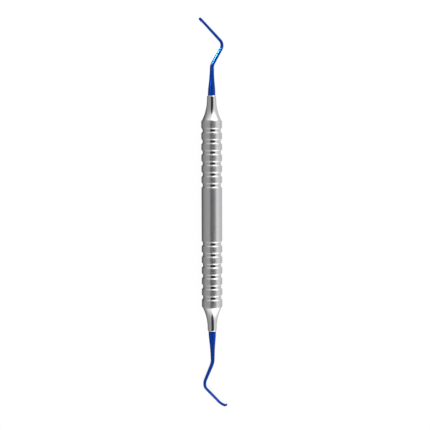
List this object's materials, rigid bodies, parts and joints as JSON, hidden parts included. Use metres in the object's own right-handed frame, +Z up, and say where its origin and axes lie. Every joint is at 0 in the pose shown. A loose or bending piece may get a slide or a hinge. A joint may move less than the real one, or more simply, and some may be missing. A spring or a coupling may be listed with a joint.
{
  "type": "hand scaler",
  "caption": "Double-ended dental hand scaler with a ring-grooved hollow handle, flared end cones and mirror-image bent tips.",
  "frame": {"origin": "under the middle of the handle, on the flat strip that the handle rests on", "axes": "+X along the instrument towards right_tip, +Z up, away from the surface that the handle lies on"},
  "size_m": [0.1809, 0.0128, 0.0095],
  "materials": {
    "satin_steel": "satin-finished stainless steel",
    "polished_steel": "mirror-polished stainless steel",
    "blue_coated_steel": "hard glossy blue titanium-type coating on steel"
  },
  "bodies": {
    "root": {"handle_tube": "satin_steel", "right_cone": "polished_steel", "left_cone": "polished_steel", "right_tip": "blue_coated_steel", "left_tip": "blue_coated_steel"}
  },
  "joints": []
}
